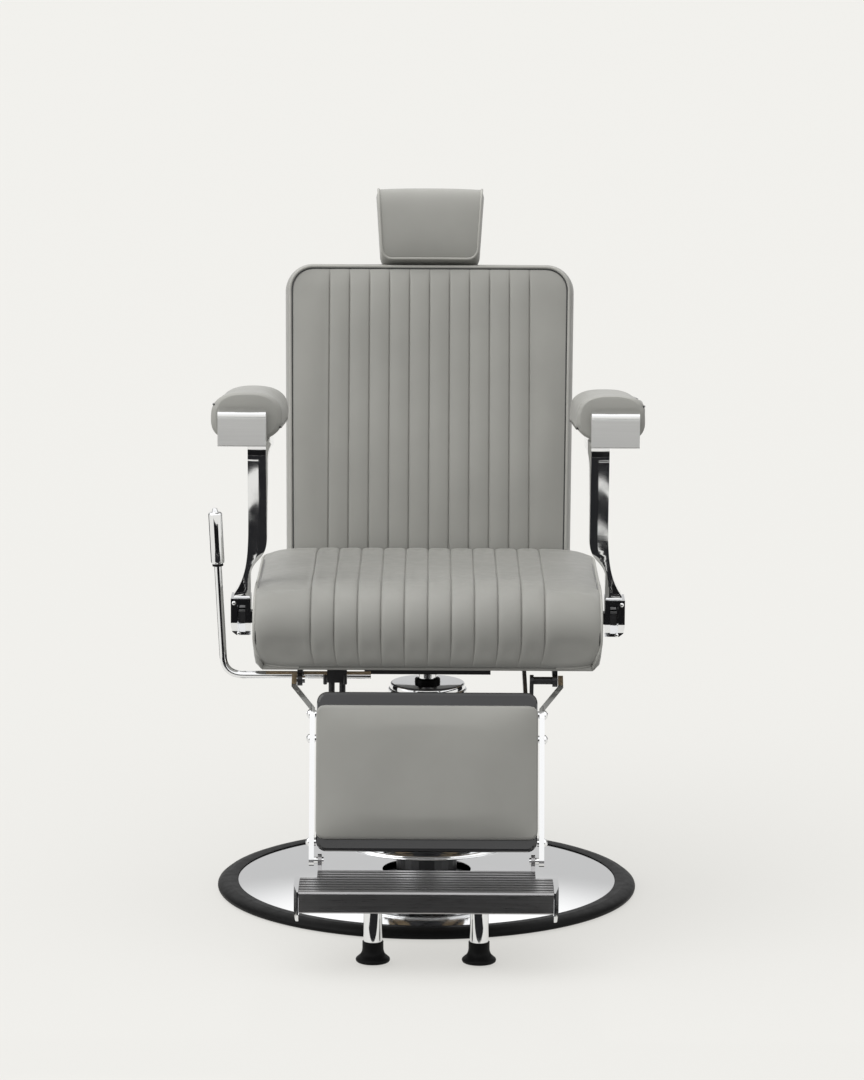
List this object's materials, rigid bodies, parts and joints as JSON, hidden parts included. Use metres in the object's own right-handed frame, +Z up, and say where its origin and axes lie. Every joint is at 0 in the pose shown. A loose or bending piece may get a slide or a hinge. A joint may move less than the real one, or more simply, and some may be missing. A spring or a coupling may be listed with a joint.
{
  "type": "hydraulic barber chair",
  "caption": "Hydraulic barber chair on a round floor base: it lifts, swivels and reclines, with a linked leg rest, folding foot plate, arms and head rest.",
  "frame": {"origin": "on the pump's axis, at the underside of the base", "axes": "+Z up along the pump, the sitter faces -Y, +X on the sitter's left"},
  "size_m": [0.6875, 1.0208, 1.1039],
  "materials": {
    "chrome": "polished chrome plate",
    "satin_steel": "fine brushed, with a soft sheen",
    "plain_steel": "turned steel",
    "frame_black": "black powder coat",
    "shell_black": "glossy black moulding",
    "rubber": "satin black rubber",
    "upholstery": "warm grey smooth-grain leather",
    "tread_aluminium": "ribbed extrusion, satin anodised",
    "plywood": "bare plywood",
    "cast_iron": "rough casting, painted below"
  },
  "bodies": {
    "base": {"base_weight": "cast_iron", "base_cover": "chrome", "base_ring": "rubber", "pump_flange": "frame_black", "pump_reservoir": "frame_black", "pump_cylinder": "plain_steel", "pump_cover": "chrome", "pump_wiper": "rubber", "pedal_pin": "plain_steel"},
    "pedal": {"pedal_arm": "chrome", "pedal_pad": "rubber"},
    "piston": {"piston_rod": "chrome", "piston_head": "frame_black"},
    "seat": {"seat_mount_plate": "frame_black", "seat_crossbar_front": "frame_black", "seat_crossbar_rear": "frame_black", "seat_rail_left": "frame_black", "seat_rail_right": "frame_black", "lever_bracket": "frame_black", "recline_cylinder": "frame_black", "seat_board": "plywood", "seat_cushion": "upholstery", "arm_bracket_left": "frame_black", "arm_bracket_right": "frame_black", "arm_knuckle_left": "chrome", "arm_knuckle_right": "chrome", "arm_frame_left": "chrome", "arm_frame_right": "chrome", "arm_pad_left": "upholstery", "arm_pad_right": "upholstery", "ashtray_box_left": "satin_steel", "ashtray_box_right": "satin_steel"},
    "lid_left": {"ashtray_lid_left": "chrome"},
    "lid_right": {"ashtray_lid_right": "chrome"},
    "lever": {"lever_rod": "chrome", "lever_grip": "chrome"},
    "backrest": {"back_pivot_tube": "frame_black", "back_strap_left": "frame_black", "back_strap_right": "frame_black", "back_shell": "shell_black", "back_cushion": "upholstery", "headrest_sleeve": "chrome"},
    "headrest_slider": {"headrest_post": "chrome"},
    "headrest": {"headrest_hinge": "chrome", "headrest_board": "frame_black", "headrest_cushion": "upholstery"},
    "recline_slider": {"recline_rod": "chrome"},
    "legrest_link": {"legrest_link": "frame_black"},
    "legrest": {"legrest_bar_left": "chrome", "legrest_bar_right": "chrome", "legrest_lever": "frame_black", "legrest_shell": "shell_black", "legrest_pad": "upholstery"},
    "footplate": {"footplate_tread": "tread_aluminium", "footplate_cap_left": "chrome", "footplate_cap_right": "chrome", "footplate_tube_left": "chrome", "footplate_tube_right": "chrome", "footplate_foot_left": "rubber", "footplate_foot_right": "rubber"}
  },
  "joints": [
    {"name": "pump_pedal", "type": "hinge", "parent": "base", "child": "pedal", "pos_m": [0, 0.078, 0.055], "axis": [-1, 0, 0], "range_deg": [0, 12], "stiffness_Nm_per_rad": 12, "springref_deg": -28.65},
    {"name": "lift", "type": "slide", "parent": "base", "child": "piston", "axis": [0, 0, 1], "range_m": [0, 0.15]},
    {"name": "swivel", "type": "hinge", "parent": "piston", "child": "seat", "pos_m": [0, 0, 0.386], "axis": [0, 0, 1], "continuous": true},
    {"name": "release_lever", "type": "hinge", "parent": "seat", "child": "lever", "pos_m": [-0.2, -0.2, 0.395], "axis": [-1, 0, 0], "range_deg": [0, 20], "stiffness_Nm_per_rad": 4, "springref_deg": -20.05},
    {"name": "ashtray_lid_left", "type": "hinge", "parent": "seat", "child": "lid_left", "pos_m": [0.2905, -0.205, 0.82], "axis": [-1, 0, 0], "range_deg": [0, 75]},
    {"name": "ashtray_lid_right", "type": "hinge", "parent": "seat", "child": "lid_right", "pos_m": [-0.2905, -0.205, 0.82], "axis": [-1, 0, 0], "range_deg": [0, 75]},
    {"name": "recline", "type": "hinge", "parent": "seat", "child": "backrest", "pos_m": [0, 0.245, 0.425], "axis": [-1, 0, 0], "range_deg": [0, 50]},
    {"name": "recline_rod_slide", "type": "slide", "parent": "seat", "child": "recline_slider", "axis": [0, -1, 0], "range_m": [0, 0.0509]},
    {"name": "legrest_swing", "type": "hinge", "parent": "seat", "child": "legrest", "pos_m": [0, -0.258, 0.4], "axis": [-1, 0, 0], "range_deg": [0, 42.6]},
    {"name": "link_pivot", "type": "hinge", "parent": "backrest", "child": "legrest_link", "pos_m": [0.1565, 0.27036, 0.37062], "axis": [-1, 0, 0], "range_deg": [-50.1, 0]},
    {"name": "footplate_fold", "type": "hinge", "parent": "legrest", "child": "footplate", "pos_m": [0, -0.3959, 0.1441], "axis": [-1, 0, 0], "range_deg": [0, 60]},
    {"name": "headrest_height", "type": "slide", "parent": "backrest", "child": "headrest_slider", "axis": [0, 0.2588, 0.9659], "range_m": [0, 0.1]},
    {"name": "headrest_tilt", "type": "hinge", "parent": "headrest_slider", "child": "headrest", "pos_m": [0, 0.46115, 1.01724], "axis": [-1, 0, 0], "range_deg": [0, 30]}
  ],
  "couplings": [
    {"joint": "recline_rod_slide", "follows": "recline", "m_per_rad": 0.0581},
    {"joint": "legrest_swing", "follows": "recline", "ratio": 0.85},
    {"joint": "link_pivot", "follows": "recline", "ratio": -1}
  ]
}
